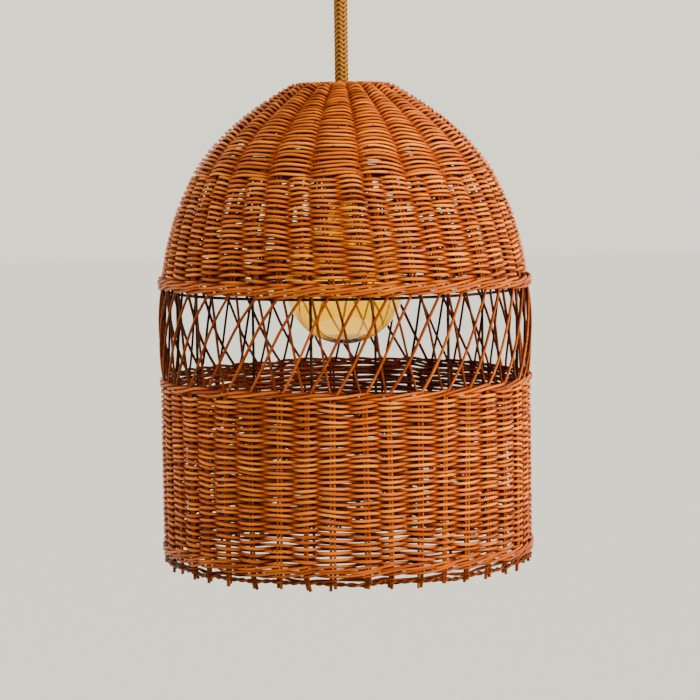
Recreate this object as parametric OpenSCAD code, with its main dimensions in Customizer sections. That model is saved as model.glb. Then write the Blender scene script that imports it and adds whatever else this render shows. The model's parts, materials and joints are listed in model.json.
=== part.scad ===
// Woven rattan pendant light on a plaited rope.
// The origin is the centre of the ceiling bracket's upper face, and everything hangs below it.

/* [Shade] */
// Outside radius of the straight woven body
body_r = 195; // [150:1:215]
// Height of the dome, crown to the foot of its rim
dome_h = 212; // [200:1:240]
// Height of the open lattice band
lattice_h = 92; // [60:1:120]
// Height of the straight body, its two bands of wale included
body_h = 184; // [120:1:240]
// Thickness of the woven wall
wall_t = 9; // [7:0.5:11]
// How far a band of wale stands out past the woven wall
wale_out = 1; // [0.5:0.5:5]
// Number of stake pairs round the shade
stake_pairs = 42; // [24:2:48]
// Diameter of one stake
stake_d = 3; // [2:0.5:3.5]
// Height of the cut stake ends below the bottom wale
stake_end_h = 15; // [8:1:20]

/* [Frame] */
// Number of wire ribs
rib_count = 8; // [4:1:12]
// Thickness of the frame wire
wire_d = 3; // [2:0.5:4]

/* [Suspension] */
// Drop from the ceiling to the crown of the dome
drop = 175; // [140:1:400]
// Diameter of the plaited rope
rope_d = 14.5; // [12:0.5:15]
// Radius of the ceiling canopy
canopy_r = 55; // [52:1:70]
// Distance between the centres of the two bracket slots
slot_spacing = 70; // [60:1:76]

/* [Bulb] */
// Diameter of the glass globe
globe_d = 125; // [95:1:125]
// Depth of the globe's centre below the crown
globe_depth = 210; // [205:1:215]

/* [Hidden] */
$fn = 64;

// Clearance between pieces that move past each other, and the depth of a let-in joint
gap = 0.3;
let_in = 4;

// Heights of the shade, from the ceiling down
crown_z = -drop;
foot_z = crown_z - dome_h;
body_z = foot_z - lattice_h;
hem_z = body_z - body_h;
end_z = hem_z - stake_end_h;
wale_h = 12;
wale_r = body_r + wale_out;
stake_r = body_r - wall_t / 2;
pair_step = 360 / stake_pairs;
// Turn of the first stake pair from the front
first_pair = 4.9;
// Turn of the first rib from the front
first_rib = -10.6;

// Rings of frame wire inside the body: their radius, and how far the upper one is below the body's top
wall_ring_r = body_r - wall_t - gap - wire_d / 2;
body_ring_drop = 60;

// Outline of the dome: a nearly flat crown disc, then one curve down to the foot
crown_r = 49;
crown_fall = 1.5;
dome_curve = [[crown_r, -crown_fall], [0.65 * body_r, -42], [0.921 * body_r, -89], [body_r - 1, -dome_h]];

// Ceiling bracket and canopy: sheet thicknesses, slots and screws
bracket_t = 2;
slot_w = 5;
slot_l = 14;
canopy_t = 1.5;
canopy_side = 14;
canopy_hole_r = 17.5;
canopy_screw_r = 2;
canopy_screw_z = -9;
hook_stem_r = 3;

// Hook, link and eye: wire radii, ring radii and the two swing axes
hook_wire = 2.2;
hook_ring = 6.5;
hook_z = -17;
link_wire = 2;
link_bend = hook_wire + link_wire + gap;
swing_front_z = hook_z - hook_ring;
swing_side_z = -40;
link_low_z = swing_side_z + link_bend;
eye_z = link_low_z - hook_ring;

// Rope and flex: half sizes, ends and routes
rope_r = rope_d / 2;
ferrule_r = rope_r + 2.5;
ferrule_top_z = -52;
rope_top_z = ferrule_top_z - 4;
ferrule_low_z = -74;
ferrule_screw_z = -65;
small_screw_r = 1.5;
hub_z = crown_z - wall_t - 4.5;
collar_h = 14;
collar_r = 12;
collar_screw_z = hub_z - collar_h / 2 - 0.5;
cup_top_z = crown_z - 37;
cup_low_z = cup_top_z - 22;
rope_low_z = cup_low_z + 4;
rope_route = [[0, 0, rope_top_z], [0, 0, -80], [0, 0, -100], [0, 0, -130], [0, 0, -160], [0, 0, -190],
              [0, 0, rope_low_z]];
flex_r = 2.2;
flex_at = 4.6;
flex_route = [[4.6, -4.6, -56], [4.6, -4.6, -50], [4.6, -4.6, -44], [5, -5, -38], [7, -7, -32],
              [10, -10, -28], [12, -12, -25], [14, -14, -21]];
cord_sides = 12;
flex_sides = 8;
block_at = [15, -14, -21];

// Holder heights, from the cup down
cap_top_z = cup_low_z;
cap_low_z = cap_top_z - 24;
skirt_low_z = cap_low_z - 38;
skirt_r = 20;
block_h = 10;

// Bulb heights and the screw thread that it shares with the holder
globe_r = globe_d / 2;
globe_z = crown_z - globe_depth;
tip_z = cap_low_z - block_h - 1.5;
thread_r = 12.6;
thread_depth = 0.5;
thread_pitch = 3.6;
thread_turns = 6;
thread_top_z = tip_z - 4.5;
thread_low_z = thread_top_z - thread_turns * thread_pitch;
glass_t = 1.2;

// Point on a cubic curve
function curve_at(p, t) =
  pow(1 - t, 3) * p[0] + 3 * pow(1 - t, 2) * t * p[1] + 3 * (1 - t) * t * t * p[2] + pow(t, 3) * p[3];
// Direction down the dome's outline
function dome_slope(t) =
  let (d = curve_at(dome_curve, min(t + 0.01, 1)) - curve_at(dome_curve, min(t, 0.99))) d / norm(d);
// Point on the dome's outline, moved inwards by inset
function dome_point(t, inset) =
  let (p = curve_at(dome_curve, t), d = dome_slope(t)) [p[0] + d[1] * inset, p[1] - d[0] * inset];
// Stretch of the dome's outline, moved inwards by inset
function dome_line(t0, t1, steps, inset) =
  [for (i = [0:steps]) dome_point(t0 + (t1 - t0) * i / steps, inset)];
function reversed(line) = [for (i = [len(line) - 1:-1:0]) line[i]];
// Point at an angle from the front, a radius and a height
function around(a, r, z) = [r * sin(a), -r * cos(a), z];

// A wall of revolution between an outer line and its inner partner
module turned_wall(outer, inner) {
  rotate_extrude($fn = 96) polygon(concat(outer, reversed(inner)));
}

// A ring whose section is an oval w wide and h high
module oval_ring(r, z, w, h, sides = 12) {
  rotate_extrude($fn = 96)
    polygon([for (a = [0:360 / sides:359]) [r + w / 2 * cos(a), z + h / 2 * sin(a)]]);
}

// A straight round stick between two points
module stick(a, b, d) {
  run = b - a;
  translate(a)
    rotate([0, acos(run[2] / norm(run)), atan2(run[1], run[0])])
      cylinder(d = d, h = norm(run), $fn = 16);
}

// A tube of straight-sided section swept along a route that keeps to one plane
module swept_tube(route, r, sides) {
  last = len(route) - 1;
  across = [1, 1, 0] / sqrt(2);
  rings = [for (i = [0:last])
    let (run = route[min(i + 1, last)] - route[max(i - 1, 0)], up = cross(run / norm(run), across))
      for (k = [0:sides - 1]) route[i] + r * (cos(360 * k / sides) * across + sin(360 * k / sides) * up)];
  sides_faces = [for (i = [0:last - 1]) for (k = [0:sides - 1])
    let (a = i * sides + k, b = i * sides + (k + 1) % sides) [a, b, b + sides, a + sides]];
  first_cap = [for (k = [sides - 1:-1:0]) k];
  last_cap = [for (k = [0:sides - 1]) last * sides + k];
  polyhedron(rings, concat([first_cap], sides_faces, [last_cap]), convexity = 4);
}

// ---------- Ceiling fitting ----------

// A flat bar along the ceiling with its two ends bent down to take the canopy's screws
module ceiling_bracket() {
  reach = canopy_r - 5;
  color("silver") difference() {
    union() {
      translate([-reach, -9, -bracket_t]) cube([2 * reach, 18, bracket_t]);
      for (side = [-1, 1]) translate([side * (reach - 1) - 1, -8, -17]) cube([bracket_t, 16, 16]);
    }
    for (side = [-1, 1]) bracket_slot(side * slot_spacing / 2);
    translate([0, 0, -5]) cylinder(r = hook_stem_r, h = 10);
    rotate([0, 90, 0]) translate([-canopy_screw_z, 0, -reach - 10])
      cylinder(r = canopy_screw_r, h = 2 * reach + 20);
  }
}

// Slot for one ceiling screw, along the bar
module bracket_slot(x) {
  end = slot_l / 2 - slot_w / 2;
  for (side = [-1, 1]) translate([x + side * end, 0, -5]) cylinder(r = slot_w / 2, h = 10);
  translate([x - end, -slot_w / 2, -5]) cube([2 * end, slot_w, 10]);
}

module ceiling_hook() {
  color("silver") {
    translate([0, 0, hook_z + hook_ring]) cylinder(r = hook_stem_r, h = -hook_z - hook_ring);
    translate([0, 0, hook_z]) rotate([90, 0, 0]) rotate([0, 0, 90])
      rotate_extrude(angle = 300, $fn = 64) translate([hook_ring, 0]) circle(r = hook_wire, $fn = 24);
  }
}

module hook_nut() {
  color("silver") difference() {
    translate([0, 0, -7]) cylinder(r = 5.8, h = 5, $fn = 6);
    translate([0, 0, -8]) cylinder(r = hook_stem_r, h = 7);
  }
}

// Line of the canopy from its rim on the ceiling, round the bend, to the hole for the rope
function canopy_line(inset) =
  let (flat_r = 27, bend = canopy_r - flat_r)
    concat(
      [[canopy_r - inset, 0]],
      [for (a = [0:10:90]) [flat_r + (bend - inset) * cos(a), -canopy_side - (bend - inset) * sin(a)]],
      [[canopy_hole_r, -canopy_side - 4 - bend + inset]]
    );

module canopy() {
  color("peru") difference() {
    turned_wall(canopy_line(0), canopy_line(canopy_t));
    rotate([0, 90, 0]) translate([-canopy_screw_z, 0, -80]) cylinder(r = canopy_screw_r + 0.2, h = 160);
  }
}

// Two slotted screws that hold the canopy to the bracket's ends
module canopy_screws() {
  inner_end = canopy_r - 11;
  color("gold") for (turn = [0, 180]) rotate([0, 0, turn]) rotate([0, 90, 0])
    translate([-canopy_screw_z, 0, 0]) {
    translate([0, 0, inner_end]) cylinder(r = canopy_screw_r, h = canopy_r - inner_end);
    difference() {
      translate([0, 0, canopy_r]) cylinder(r1 = 4, r2 = 3, h = 2.4);
      translate([-0.4, -5, canopy_r + 1.4]) cube([0.8, 10, 2]);
    }
  }
}

// ---------- Quick link between hook and eye ----------

module quick_link() {
  color("silver") {
    translate([0, 0, swing_front_z]) rotate([0, 90, 0]) rotate([0, 0, 90])
      rotate_extrude(angle = 180, $fn = 48) translate([link_bend, 0]) circle(r = link_wire, $fn = 24);
    translate([0, 0, link_low_z]) rotate([0, 90, 0]) rotate([0, 0, -90])
      rotate_extrude(angle = 180, $fn = 48) translate([link_bend, 0]) circle(r = link_wire, $fn = 24);
    for (side = [-1, 1]) translate([0, side * link_bend, link_low_z])
      cylinder(r = link_wire, h = swing_front_z - link_low_z, $fn = 24);
  }
}

// Threaded sleeve that closes the link's open leg
module link_sleeve() {
  color("gold") difference() {
    translate([0, link_bend + 0.9, link_low_z + 2]) cylinder(r = 3.2, h = 7, $fn = 6);
    translate([0, link_bend, link_low_z]) cylinder(r = link_wire, h = 12, $fn = 24);
    translate([-5, -5, link_low_z]) cube([10, 5 + hook_wire + gap, 12]);
  }
}

// ---------- Rope, its fittings and the flex ----------

module rope_eye() {
  color("silver") {
    translate([0, 0, eye_z]) rotate([90, 0, 0])
      rotate_extrude($fn = 64) translate([hook_ring, 0]) circle(r = hook_wire, $fn = 24);
    translate([0, 0, rope_top_z]) cylinder(r = hook_wire, h = eye_z - hook_ring - rope_top_z, $fn = 24);
  }
}

module top_ferrule() {
  color("silver") difference() {
    translate([0, 0, ferrule_low_z]) cylinder(r = ferrule_r, h = ferrule_top_z - ferrule_low_z);
    translate([0, 0, ferrule_low_z - 1]) cylinder(r = rope_r + 0.1, h = rope_top_z - ferrule_low_z + 1);
    translate([0, 0, rope_top_z - 1]) cylinder(r = hook_wire, h = 10, $fn = 24);
    translate([flex_at, -flex_at, rope_top_z - 1]) cylinder(r = flex_r + 0.2, h = 10, $fn = 24);
    translate([0, 0, ferrule_screw_z]) rotate([0, 90, 0]) cylinder(r = small_screw_r, h = 20, $fn = 24);
  }
}

module ferrule_screw() {
  color("silver") translate([rope_r + 0.1, 0, ferrule_screw_z]) rotate([0, 90, 0])
    cylinder(r = small_screw_r, h = 3.2, $fn = 24);
}

module flex_tail() {
  color("saddlebrown") swept_tube(flex_route, flex_r, flex_sides);
}

// Two-way terminal block on the end of the flex, with a slanting notch where the flex comes in
module terminal_block() {
  color("white") difference() {
    translate(block_at - [6, 5, 5]) cube([12, 10, 10]);
    for (side = [-1, 1]) translate(block_at + [3 * side, -11, 0]) rotate([-90, 0, 0])
      cylinder(r = 1.6, h = 20, $fn = 24);
    for (side = [-1, 1]) translate(block_at + [3 * side, 0, 2.5])
      cylinder(r = small_screw_r, h = 5, $fn = 24);
    translate(block_at - [1, 0, 0]) rotate([0, 0, 45]) translate([-9, -3, -6]) cube([9, 6, 4]);
  }
}

module terminal_screws() {
  color("gold") for (side = [-1, 1]) translate(block_at + [3 * side, 0, 2.5])
    cylinder(r = small_screw_r - 0.1, h = 2, $fn = 24);
}

module rope() {
  color("burlywood") swept_tube(rope_route, rope_r, cord_sides);
}

// ---------- Wire frame ----------

// Round plate under the crown, welded to the ribs and carried by the collar
module hub_plate() {
  color("dimgray") difference() {
    translate([0, 0, hub_z]) cylinder(r = 28, h = 2);
    translate([0, 0, hub_z - 1]) cylinder(r = rope_r + 0.5, h = 4);
  }
}

module rope_collar() {
  color("gold") difference() {
    translate([0, 0, hub_z - collar_h]) cylinder(r = collar_r, h = collar_h);
    translate([0, 0, hub_z - collar_h - 1]) cylinder(r = rope_r + 0.1, h = collar_h + 2);
    translate([0, 0, collar_screw_z]) rotate([0, 90, 0]) cylinder(r = 2, h = 20, $fn = 24);
  }
}

module collar_screw() {
  color("gold") translate([0, 0, collar_screw_z]) rotate([0, 90, 0]) {
    translate([0, 0, rope_r + 0.1]) cylinder(r = 2, h = collar_r - rope_r - 0.1, $fn = 24);
    translate([0, 0, collar_r]) cylinder(r = 3.5, h = 2.5, $fn = 24);
  }
}

// One rib: a bar bent to the inside of the dome, then straight down the lattice and the body
module frame_rib() {
  inset = wall_t + gap + wire_d + 0.4;
  start = [26, -wall_t - 4.7];
  foot = [body_r - wall_t - gap - wire_d - 1, hem_z - crown_z + 4];
  face = concat([start], dome_line(0.12, 0.94, 14, inset), [foot]);
  rear = concat([start - [0, wire_d]], dome_line(0.12, 0.94, 14, inset + wire_d), [foot - [wire_d, 0]]);
  translate([0, wire_d / 2, crown_z]) rotate([90, 0, 0])
    linear_extrude(wire_d) polygon(concat(face, reversed(rear)));
}

module frame_ribs() {
  color("dimgray") for (k = [0:rib_count - 1])
    rotate([0, 0, first_rib - 90 + k * 360 / rib_count]) frame_rib();
}

module frame_ring(r, z) {
  color("dimgray") translate([0, 0, z])
    rotate_extrude($fn = 96) translate([r, 0]) circle(d = wire_d, $fn = 16);
}

module dome_ring() { frame_ring(stake_r - stake_d / 2 - 4, foot_z - wire_d / 2 - gap); }

module body_ring() { frame_ring(wall_ring_r, body_z - body_ring_drop); }

module bottom_ring() { frame_ring(wall_ring_r, hem_z + wale_h + 4); }

// ---------- Woven shade ----------

// The crossed base of the basket, with the rope's hole in its middle
module crown_weave() {
  under = crown_z - wall_t;
  outer = [[rope_r + 0.5, crown_z], [0.6 * crown_r, crown_z - 0.5], [crown_r, crown_z - crown_fall]];
  inner = [[rope_r + 0.5, under], [0.6 * crown_r, under - 0.5], [crown_r - 4, under - crown_fall]];
  color("peru") turned_wall(outer, inner);
}

module dome_band(t0, t1, steps) {
  outer = [for (p = dome_line(t0, t1, steps, 0)) [p[0], p[1] + crown_z]];
  inner = [for (p = dome_line(t0, t1, steps, wall_t)) [p[0], p[1] + crown_z]];
  turned_wall(outer, inner);
}

module upper_dome_weave() { color("peru") dome_band(0.01, 0.56, 12); }

module lower_dome_weave() { color("chocolate") dome_band(0.561, 0.97, 10); }

// One band of wale: an oval ring that stands out past the wall
module wale_band(z) {
  wide = wall_t + wale_out + 1;
  color("sienna") oval_ring(wale_r - wide / 2, z + wale_h / 2, wide, wale_h);
}

module dome_rim_wale() { wale_band(foot_z); }

module body_top_wale() { wale_band(body_z - wale_h); }

module bottom_wale() { wale_band(hem_z); }

module body_weave() {
  high = body_z - wale_h + 1;
  low = hem_z + wale_h - 1;
  inner_r = body_r - wall_t;
  color("chocolate") turned_wall([[body_r, high], [body_r, low]], [[inner_r, high], [inner_r, low]]);
}

// Stakes of the lattice band, each leaning over a number of pair steps as it rises
module leaning_stakes(r, lean) {
  for (k = [0:stake_pairs - 1]) {
    a = first_pair + k * pair_step;
    stick(around(a, r, body_z - let_in), around(a + lean * pair_step, r, foot_z + let_in), stake_d);
  }
}

module lattice_right() { color("chocolate") leaning_stakes(stake_r + 2.6, 2); }

module lattice_left() { color("sienna") leaning_stakes(stake_r - 2.4, -1); }

// Two strands that pass inside and outside the stake ends
module closing_twine() {
  twine_d = 2.6;
  color("sienna") for (side = [-1, 1])
    oval_ring(stake_r + side * (stake_d / 2 + 1.5), hem_z - 5, twine_d, twine_d, 8);
}

module stake_ends() {
  color("sienna") for (k = [0:stake_pairs - 1]) for (side = [-1, 1])
    translate(around(first_pair + k * pair_step + side * 0.55, stake_r, end_z))
      cylinder(d = stake_d, h = stake_end_h + let_in, $fn = 16);
}

// ---------- Lamp holder ----------

module rope_cup() {
  color("gold") difference() {
    union() {
      translate([0, 0, cup_low_z]) cylinder(r = rope_r + 2, h = cup_top_z - cup_low_z);
      translate([0, 0, cup_low_z - 10]) cylinder(r = 4.8, h = 11);
    }
    translate([0, 0, rope_low_z]) cylinder(r = rope_r + 0.1, h = 30);
    translate([0, 0, cup_low_z - 11]) cylinder(r = 3.2, h = 30);
  }
}

module nipple_nut() {
  color("gold") difference() {
    translate([0, 0, cap_top_z - 7]) cylinder(r = 8, h = 4, $fn = 6);
    translate([0, 0, cap_top_z - 8]) cylinder(r = 4.8, h = 6);
  }
}

module holder_cap() {
  outer = [[5, cap_top_z], [10, cap_top_z], [16, cap_top_z - 3], [skirt_r, cap_top_z - 9],
           [skirt_r, cap_low_z]];
  inner = [[5, cap_top_z - 3], [9, cap_top_z - 3], [14, cap_top_z - 5.5], [skirt_r - 2.5, cap_top_z - 10],
           [skirt_r - 2.5, cap_low_z]];
  color("black") turned_wall(outer, inner);
}

// The straight skirt with its coarse outer thread, open below for the bulb
module holder_skirt() {
  ribs = [for (i = [0:5]) for (p = [[0, 0], [0.9, -1.2], [0.9, -2.4], [0, -3.6]])
    [skirt_r - 0.9 + p[0], cap_low_z - 8 - i * 4.5 + p[1]]];
  outer = concat([[skirt_r - 0.9, cap_low_z]], ribs, [[skirt_r - 0.9, skirt_low_z]]);
  inner = [[skirt_r - 2.5, cap_low_z], [skirt_r - 2.5, skirt_low_z]];
  color("black") turned_wall(outer, inner);
}

module contact_block() {
  color("ivory") difference() {
    translate([0, 0, cap_low_z - block_h]) cylinder(r = skirt_r - 2.7, h = block_h);
    for (side = [-1, 1]) translate([side * 11, 0, cap_low_z - 6]) cylinder(r = 1.5, h = 7, $fn = 24);
    for (side = [-1, 1]) translate([side * 5, 0, cap_low_z - 2]) cylinder(r = 1.3, h = 3, $fn = 24);
  }
}

module contact_screws() {
  color("gold") for (side = [-1, 1]) translate([side * 11, 0, cap_low_z]) {
    translate([0, 0, -6]) cylinder(r = 1.5, h = 6, $fn = 24);
    difference() {
      cylinder(r = 2.8, h = 2, $fn = 24);
      translate([-0.4, -4, 1.2]) cube([0.8, 8, 1]);
    }
  }
}

// Sprung tongue that meets the bulb's tip
module centre_contact() {
  color("gold") translate([-3, -3, cap_low_z - block_h - 0.9]) cube([6, 6, 0.9]);
}

// Rings of rounded thread: radius as a wave of the height
function thread_line(r, top, turns) =
  [for (i = [0:turns * 6]) [r + thread_depth * cos(i * 60), top - i * thread_pitch / 6]];

module screw_shell() {
  inner = thread_line(thread_r + gap, thread_top_z, thread_turns);
  outer = [for (p = inner) [p[0] + 0.9, p[1]]];
  top = [[thread_r + 2.4, cap_low_z - block_h], [thread_r + 1.2, cap_low_z - block_h]];
  color("gold") turned_wall(concat([top[0]], outer), concat([top[1]], inner));
}

module lamp_wires() {
  color("saddlebrown") for (side = [-1, 1])
    stick([side * 1.6, 0, cup_low_z - 4], [side * 5, 0, cap_low_z - 2], 2.2);
}

// ---------- Bulb ----------

module bulb_cap() {
  outer = thread_line(thread_r - gap / 10, thread_top_z, thread_turns);
  inner = [for (p = outer) [thread_r - thread_depth - 0.8, p[1]]];
  color("silver") turned_wall(outer, inner);
}

module bulb_insulator() {
  color("black") turned_wall(
    [[3.2, tip_z - 1.2], [7, tip_z - 2], [thread_r - 1.6, thread_top_z - 0.1]],
    [[3.2, thread_top_z - 3], [7, thread_top_z - 3], [thread_r - 1.6, thread_top_z - 3]]
  );
}

module bulb_tip() {
  color("silver") translate([0, 0, tip_z - 3.5]) cylinder(r = 3.2, h = 3.5, $fn = 32);
}

// Neck inside the cap, a flare, then the globe down to its pole
function glass_line(inset) =
  let (start = 40, neck = 11.3 - inset, gr = globe_r - inset,
       edge = [gr * sin(start), globe_z + gr * cos(start)],
       flare = [[neck + 2.5, thread_low_z - 4], [neck + 3.5, thread_low_z - 22], edge + [-20, 17], edge])
    concat(
      [[neck, thread_low_z + 9], [neck, thread_low_z]],
      [for (i = [0:6]) curve_at(flare, i / 6)],
      [for (a = [start + 7:7:173]) [gr * sin(a), globe_z + gr * cos(a)]],
      [[0, globe_z - gr]]
    );

module bulb_globe() { color("orange", 0.5) turned_wall(glass_line(0), glass_line(glass_t)); }

// Glass foot that closes the neck, drawn down to a thin rod
module bulb_stem() {
  foot = [[0, 8], [9.8, 8], [9.4, 3], [5, -6]];
  rod = [[3.2, -20], [2.5, -44], [0, -46]];
  color("lightyellow") translate([0, 0, thread_low_z]) rotate_extrude($fn = 48) polygon(concat(foot, rod));
}

// Two feed wires and a hairpin of filament between them
module filament() {
  top = thread_low_z - 40;
  low = thread_low_z - 74;
  color("goldenrod") {
    for (side = [-1, 1]) stick([side * 2, 0, top], [side * 12, 0, top - 6], 0.9);
    for (side = [-1, 1]) stick([side * 12, 0, top - 6], [side * 6, 0, low], 1.6);
    stick([-6.4, 0, low], [6.4, 0, low], 1.6);
  }
}

ceiling_bracket();
ceiling_hook();
hook_nut();
canopy();
canopy_screws();
quick_link();
link_sleeve();
rope_eye();
top_ferrule();
ferrule_screw();
flex_tail();
terminal_block();
terminal_screws();
rope();
hub_plate();
rope_collar();
collar_screw();
frame_ribs();
dome_ring();
body_ring();
bottom_ring();
crown_weave();
upper_dome_weave();
lower_dome_weave();
dome_rim_wale();
lattice_right();
lattice_left();
body_top_wale();
body_weave();
bottom_wale();
closing_twine();
stake_ends();
rope_cup();
nipple_nut();
holder_cap();
holder_skirt();
contact_block();
contact_screws();
centre_contact();
screw_shell();
lamp_wires();
bulb_cap();
bulb_insulator();
bulb_tip();
bulb_globe();
bulb_stem();
filament();
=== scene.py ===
# %% [markdown]
# # A woven rattan pendant light
# The lamp hangs from a ceiling fitting on a plaited jute rope. A dome, an open lattice and a straight
# body are woven from round cane over stakes that run from the crown to the hem, and a large amber globe
# hangs inside. The metal fittings come ready-made in the frame. Every cane, the rope and the glass are
# made here.

# %% Load the frame
import json
import math
import bmesh
import bpy
import numpy as np
from mathutils import Matrix, Vector


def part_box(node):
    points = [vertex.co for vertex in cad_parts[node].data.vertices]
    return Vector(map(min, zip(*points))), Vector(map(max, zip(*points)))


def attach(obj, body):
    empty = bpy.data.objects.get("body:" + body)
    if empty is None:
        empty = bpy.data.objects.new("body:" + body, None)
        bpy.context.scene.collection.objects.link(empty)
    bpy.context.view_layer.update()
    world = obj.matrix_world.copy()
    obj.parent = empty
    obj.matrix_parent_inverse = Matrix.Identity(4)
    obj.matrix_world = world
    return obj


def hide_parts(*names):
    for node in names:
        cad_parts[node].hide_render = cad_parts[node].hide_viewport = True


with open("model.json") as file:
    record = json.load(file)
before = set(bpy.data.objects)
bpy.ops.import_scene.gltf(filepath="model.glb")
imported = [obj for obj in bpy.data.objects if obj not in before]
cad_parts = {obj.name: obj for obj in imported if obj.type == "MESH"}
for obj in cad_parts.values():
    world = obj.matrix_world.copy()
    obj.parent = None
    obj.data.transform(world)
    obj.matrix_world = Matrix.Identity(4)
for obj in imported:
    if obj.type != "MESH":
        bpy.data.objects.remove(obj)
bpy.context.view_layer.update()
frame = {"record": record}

# %% [markdown]
# ## The heights and radii of the shade
# The main sizes are read from the frame's own boxes, so that the weave meets the wire frame and the
# fittings. Heights are in metres and below zero, because the ceiling is at zero.

# %% Sizes from the frame
def low(node):
    """Lowest corner of a node's box."""
    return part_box(node)[0]


def high(node):
    """Highest corner of a node's box."""
    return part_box(node)[1]


CROWN_Z = high("crown_weave")[2]
FOOT_Z = low("dome_rim_wale")[2]
BODY_Z = high("body_top_wale")[2]
HEM_Z = low("bottom_wale")[2]
END_Z = low("stake_ends")[2]
BODY_R = high("body_weave")[0]
WALE_R = high("dome_rim_wale")[0]
WALE_H = BODY_Z - low("body_top_wale")[2]
DOME_H = CROWN_Z - FOOT_Z
BODY_LENGTH = BODY_Z - HEM_Z  # from the body's top edge to the hem
WALL = 0.009  # thickness of a woven wall
STAKE_LINE = BODY_R - WALL / 2  # radius at which the body's stakes stand
PAIRS = 42  # pairs of stakes round the shade
BUNDLES = PAIRS // 2  # groups of four stakes in the upper dome
STEP = math.tau / PAIRS  # angle from one pair to the next
FIRST_PAIR = math.radians(4.9)  # the first pair stands this far to the right of the front
STAKE_PAIR = np.repeat(np.arange(PAIRS), 2)[:, None]  # the pair that each stake is in
STAKE_HAND = np.tile([-1.0, 1.0], PAIRS)[:, None]  # and its side of the pair
STAKE_R = 0.0015  # radius of a stake
HALF_GAP = 0.00165  # half the distance between the two canes of a pair
CANE = 0.00155  # half the thickness of a weaver in the lower walls
ROW_PITCH = 0.00275  # height of a row in the lower walls
print("crown", round(CROWN_Z, 4), "foot", round(FOOT_Z, 4), "hem", round(HEM_Z, 4),
      "radius", round(BODY_R, 4))

# %% [markdown]
# ## The camera
# A long lens from a little below the crown's height, looking five degrees down. The lamp hangs very
# slightly off the upright in the frame, which is a small roll of the camera.

# %% Camera
EYE_BELOW_CROWN = 0.048  # height of the lens below the crown
DISTANCE = 2.645  # in front of the lamp's axis
SIDE = 0.0048  # to the right of the axis
LENS = 129.9  # focal length in millimetres
SENSOR = 36.0  # width of the film in millimetres
PITCH = math.radians(5.0)  # looking down
ROLL = math.radians(-0.8)  # the small tilt

camera_data = bpy.data.cameras.new("camera")
camera_data.lens = LENS
camera_data.sensor_width = SENSOR
camera = bpy.data.objects.new("camera", camera_data)
bpy.context.collection.objects.link(camera)
turn = Matrix.Rotation(math.pi / 2 - PITCH, 4, "X") @ Matrix.Rotation(ROLL, 4, "Z")
camera.matrix_world = Matrix.Translation((SIDE, -DISTANCE, CROWN_Z - EYE_BELOW_CROWN)) @ turn
bpy.context.scene.camera = camera
print("camera at", [round(v, 3) for v in camera.location])

# %% [markdown]
# ## Canes as tubes
# A cane is a round stick that follows a path, so all canes come from one helper: it carries an oval
# section along many paths at once. Each path is a row of points with a direction that points out of the
# wall, and the section lies across the path. Working on whole arrays makes a thousand canes as quick as
# one.

# %% The tube helper
# Painted shade: a cane's inner face is painted this much darker than its outer face.
INNER_FACE = 0.45  # how light a cane's inner face is beside its outer face


def unit(v):
    """Each vector divided by its length."""
    return v / np.maximum(np.linalg.norm(v, axis=-1, keepdims=True), 1e-12)


def oval_tubes(name, path, out, deep, wide, sides=7, ring=False, tone=0.5, painted_light=1.0):
    """Carry an oval section along paths.

    path and out are arrays of canes x points x 3. A vertex is path + deep cos(a) n + wide sin(a) b, where b
    is the direction across the path and the wall, n = b x tangent, and a goes once round. deep and wide are
    half sizes. tone and painted_light are kept for the finish. painted_light is painted light and shade: it
    is high on the outer face where a cane bows out, lower on its inner face and low at its sides. ring joins
    each cane's end to its start.
    """
    canes, points = path.shape[:2]
    spread = np.ones((canes, points))
    deep, wide, tone, painted_light = (np.asarray(v, float) * spread for v in (deep, wide, tone, painted_light))
    ahead = np.roll(path, -1, 1) - np.roll(path, 1, 1)
    if not ring:
        ahead[:, 0] = path[:, 1] - path[:, 0]
        ahead[:, -1] = path[:, -1] - path[:, -2]
    tangent = unit(ahead)
    across = unit(np.cross(tangent, out))
    normal = np.cross(across, tangent)
    angle = np.arange(sides) * math.tau / sides
    verts = (path[:, :, None] + (deep[..., None] * np.cos(angle))[..., None] * normal[:, :, None]
             + (wide[..., None] * np.sin(angle))[..., None] * across[:, :, None])
    index = np.arange(canes * points * sides).reshape(canes, points, sides)
    after = np.roll(index, -1, 1) if ring else index[:, 1:]
    before = index if ring else index[:, :-1]
    quads = np.stack([before, after, np.roll(after, -1, 2), np.roll(before, -1, 2)], -1)
    step = np.linalg.norm(np.diff(path, axis=1, append=path[:, :1]), axis=-1)
    along = np.cumsum(step, 1) - step
    spans = quads.shape[1]
    u0 = along[:, :spans, None] * np.ones(sides)
    u1 = u0 + step[:, :spans, None]
    v0 = np.arange(sides) / sides * np.ones((canes, spans, 1))
    v1 = v0 + 1 / sides
    corners = ((u0, v0), (u1, v0), (u1, v1), (u0, v1))
    uv = np.stack([np.stack(corner, -1) for corner in corners], 3)
    caps = index[:0, 0] if ring else np.concatenate([index[:, 0], index[:, -1, ::-1]])
    # Painted shade: the painted_light field darkens each cane's sides and its inner face.
    facing = np.cos(angle)
    outer = painted_light[..., None] * (0.5 + 0.5 * facing) ** 1.5
    inner = (0.5 + 0.3 * (1 - painted_light[..., None])) * (0.5 - 0.5 * facing)
    return new_mesh(name, verts.reshape(-1, 3), quads.reshape(-1, 4), caps, uv.reshape(-1, 2),
                    {"tone": np.repeat(tone.ravel(), sides), "painted_light": (outer + INNER_FACE * inner).ravel()})


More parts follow.
